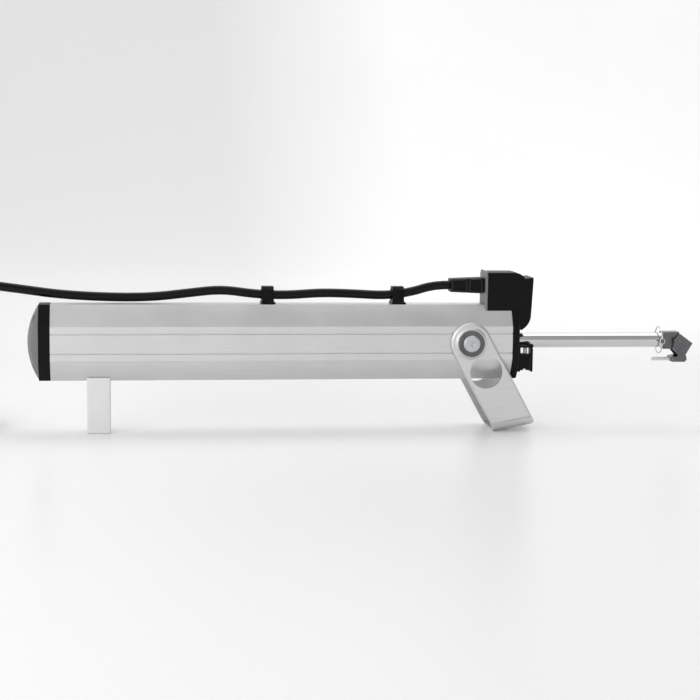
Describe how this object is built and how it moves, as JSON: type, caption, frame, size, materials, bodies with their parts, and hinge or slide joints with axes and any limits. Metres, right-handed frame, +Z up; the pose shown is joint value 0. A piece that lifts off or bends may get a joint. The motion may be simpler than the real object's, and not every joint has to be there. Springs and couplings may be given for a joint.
{
  "type": "electric linear actuator",
  "caption": "Slim extruded electric linear actuator: push rod with swivel bracket, stirrup mount, top cable with clips, plug and terminal hood.",
  "frame": {"origin": "bottom centre of the object without its cable, on the surface that it stands on", "axes": "+X along the body towards the rod end, +Z up, the pictured side faces -Y"},
  "size_m": [0.6604, 0.0944, 0.129],
  "materials": {
    "satin_aluminium": "satin anodised, fine lengthwise grain",
    "black_plastic": "fine moulded texture",
    "grey_plastic": "satin moulded grey",
    "white_plastic": "smooth translucent white",
    "black_rubber": "smooth",
    "cable_rubber": "smooth, slightly glossy",
    "stainless": "polished rod",
    "zinc_steel": "bright zinc plated",
    "gear_steel": "machined",
    "dark_steel": "dark zinc nickel",
    "brass": "machined",
    "acetal": "natural acetal",
    "board_green": "solder resist"
  },
  "bodies": {
    "base": {"bearing_holder": "zinc_steel", "body_extrusion": "satin_aluminium", "cable_clip_1": "black_plastic", "cable_clip_2": "black_plastic", "coil_tie": "black_rubber", "connector_plate": "grey_plastic", "cord_coil": "cable_rubber", "cord_end": "cable_rubber", "cord_plug": "black_plastic", "cord_tube": "cable_rubber", "flap_pin": "black_plastic", "front_cap_screws": "zinc_steel", "front_end_cap": "black_plastic", "limit_switches": "black_plastic", "motor_can": "gear_steel", "motor_mount": "zinc_steel", "motor_ring": "black_rubber", "pivot_bushes": "brass", "pivot_screws": "zinc_steel", "pivot_washers": "dark_steel", "power_socket": "black_plastic", "rear_cap_screws": "zinc_steel", "rear_dome_cover": "grey_plastic", "rear_end_cap": "black_plastic", "rear_rest_block": "white_plastic", "release_block": "black_plastic", "ribbed_pin": "acetal", "ring_gear": "gear_steel", "rod_bush": "acetal", "rod_wiper": "black_rubber", "screw_bearing": "stainless", "socket_pins": "brass", "switch_board": "board_green", "terminal_housing": "black_plastic"},
    "rod": {"drive_nut": "acetal", "push_rod": "stainless", "rod_end_fitting": "dark_steel", "bracket_pin": "zinc_steel", "lock_pin": "zinc_steel"},
    "screw": {"lead_screw": "gear_steel", "planet_carrier": "gear_steel"},
    "sun": {"sun_shaft": "gear_steel"},
    "planet_1": {"planet_gear_1": "acetal"},
    "planet_2": {"planet_gear_2": "acetal"},
    "planet_3": {"planet_gear_3": "acetal"},
    "stirrup": {"stirrup": "satin_aluminium"},
    "end_bracket": {"end_bracket": "dark_steel", "bracket_stud": "zinc_steel"},
    "lock_ring": {"lock_ring": "zinc_steel"},
    "flap": {"release_flap": "black_plastic"}
  },
  "joints": [
    {"name": "rod_slide", "type": "slide", "parent": "base", "child": "rod", "axis": [1, 0, 0], "range_m": [-0.08, 0.1]},
    {"name": "screw_spin", "type": "hinge", "parent": "base", "child": "screw", "pos_m": [-0.1498, 0, 0.072], "axis": [1, 0, 0], "continuous": true},
    {"name": "sun_spin", "type": "hinge", "parent": "base", "child": "sun", "pos_m": [-0.1623, 0, 0.072], "axis": [1, 0, 0], "continuous": true},
    {"name": "planet_1_spin", "type": "hinge", "parent": "screw", "child": "planet_1", "pos_m": [-0.1623, 0.0075, 0.072], "axis": [1, 0, 0], "continuous": true},
    {"name": "planet_2_spin", "type": "hinge", "parent": "screw", "child": "planet_2", "pos_m": [-0.1623, -0.00375, 0.07849], "axis": [1, 0, 0], "continuous": true},
    {"name": "planet_3_spin", "type": "hinge", "parent": "screw", "child": "planet_3", "pos_m": [-0.1623, -0.00375, 0.0655], "axis": [1, 0, 0], "continuous": true},
    {"name": "stirrup_pivot", "type": "hinge", "parent": "base", "child": "stirrup", "pos_m": [0.0809, 0, 0.072], "axis": [0, 1, 0], "range_deg": [-12, 64]},
    {"name": "end_bracket_pivot", "type": "hinge", "parent": "rod", "child": "end_bracket", "pos_m": [0.2552, 0, 0.072], "axis": [0, 1, 0], "range_deg": [-85, 6]},
    {"name": "lock_ring_swing", "type": "hinge", "parent": "rod", "child": "lock_ring", "pos_m": [0.2422, 0, 0.072], "axis": [0, 1, 0], "range_deg": [-25, 25]},
    {"name": "flap_hinge", "type": "hinge", "parent": "base", "child": "flap", "pos_m": [0.1316, 0, 0.069], "axis": [0, 1, 0], "range_deg": [-95, 0]}
  ],
  "couplings": [
    {"joint": "screw_spin", "follows": "rod_slide", "rad_per_m": -785.4},
    {"joint": "sun_spin", "follows": "rod_slide", "rad_per_m": -3927},
    {"joint": "planet_1_spin", "follows": "rod_slide", "rad_per_m": 2094.4},
    {"joint": "planet_2_spin", "follows": "rod_slide", "rad_per_m": 2094.4},
    {"joint": "planet_3_spin", "follows": "rod_slide", "rad_per_m": 2094.4}
  ]
}
